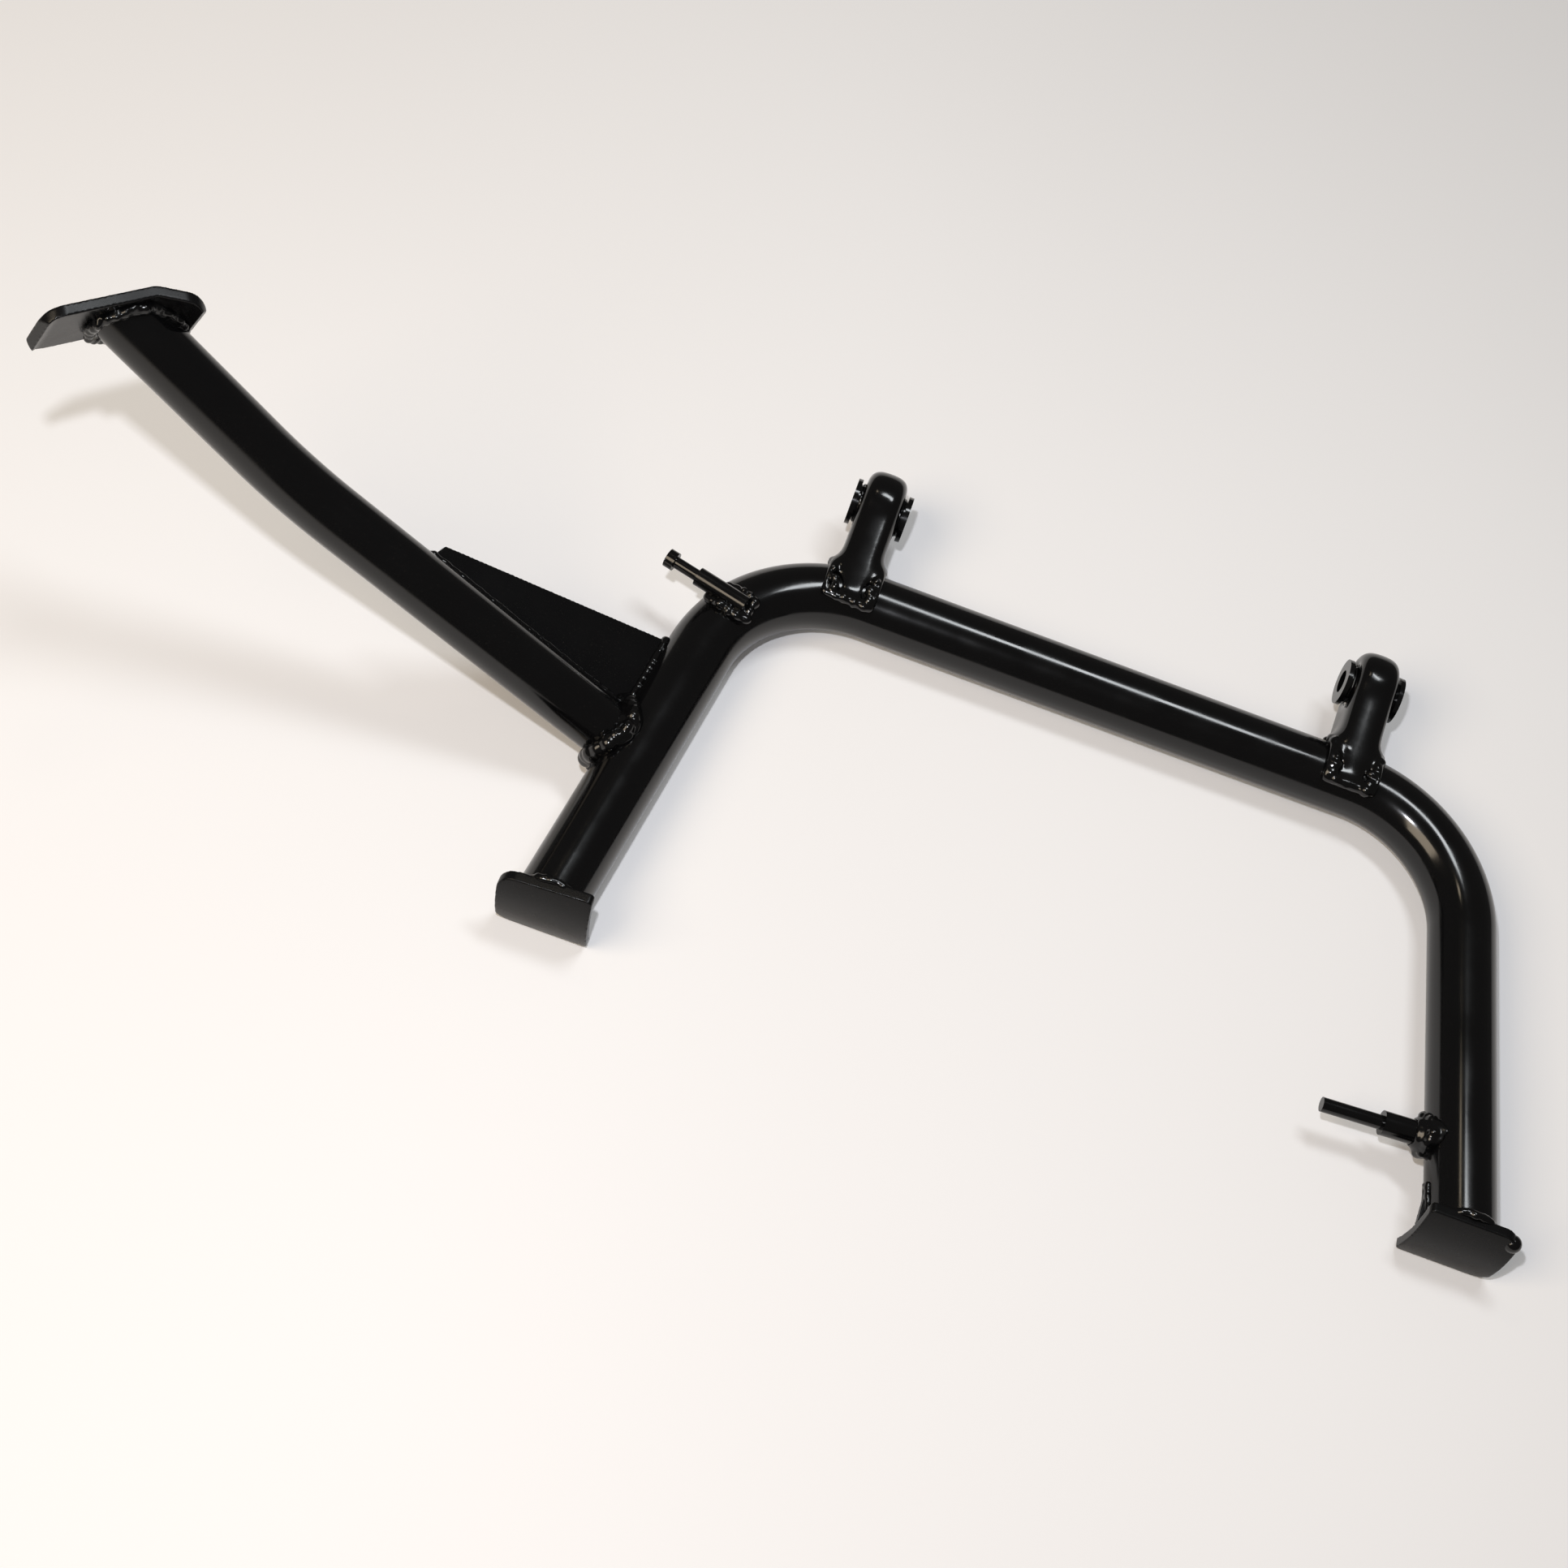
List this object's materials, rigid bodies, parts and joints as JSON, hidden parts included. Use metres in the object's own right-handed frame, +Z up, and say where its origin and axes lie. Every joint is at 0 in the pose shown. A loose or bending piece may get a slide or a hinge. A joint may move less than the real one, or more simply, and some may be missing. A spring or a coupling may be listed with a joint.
{
  "type": "scooter centre stand",
  "caption": "Scooter centre stand of bent tube with curved feet, pivot ears, spring pegs and a gusseted foot lever with a tread, all welded into one piece.",
  "frame": {"origin": "middle of the left pivot bore, the left being the side of the foot lever", "axes": "+X along the pivot axis from the left pivot to the right one, +Y in the floor's plane from the feet towards the pivots, +Z straight up from the surface that the stand lies on"},
  "size_m": [0.6277, 0.2484, 0.1773],
  "materials": {
    "paint": "gloss",
    "paint_plate": "gloss",
    "paint_weld": "gloss"
  },
  "bodies": {
    "root": {"main_tube": "paint", "tang_tube": "paint", "tread_pad": "paint_plate", "gusset_plate": "paint_plate", "left_foot_plate": "paint_plate", "right_foot_plate": "paint_plate", "right_foot_web": "paint_plate", "left_ear": "paint", "right_ear": "paint", "left_pivot_sleeve": "paint", "right_pivot_sleeve": "paint", "left_outer_bush": "paint", "left_inner_bush": "paint", "right_inner_bush": "paint", "right_outer_bush": "paint", "left_spring_peg": "paint", "right_spring_peg": "paint", "right_peg_collar": "paint", "tang_weld": "paint_weld", "tread_weld": "paint_weld", "gusset_weld": "paint_weld", "left_foot_weld": "paint_weld", "right_foot_weld": "paint_weld", "web_weld": "paint_weld", "left_ear_weld": "paint_weld", "right_ear_weld": "paint_weld", "left_sleeve_weld": "paint_weld", "right_sleeve_weld": "paint_weld", "left_peg_weld": "paint_weld", "right_peg_weld": "paint_weld"}
  },
  "joints": []
}
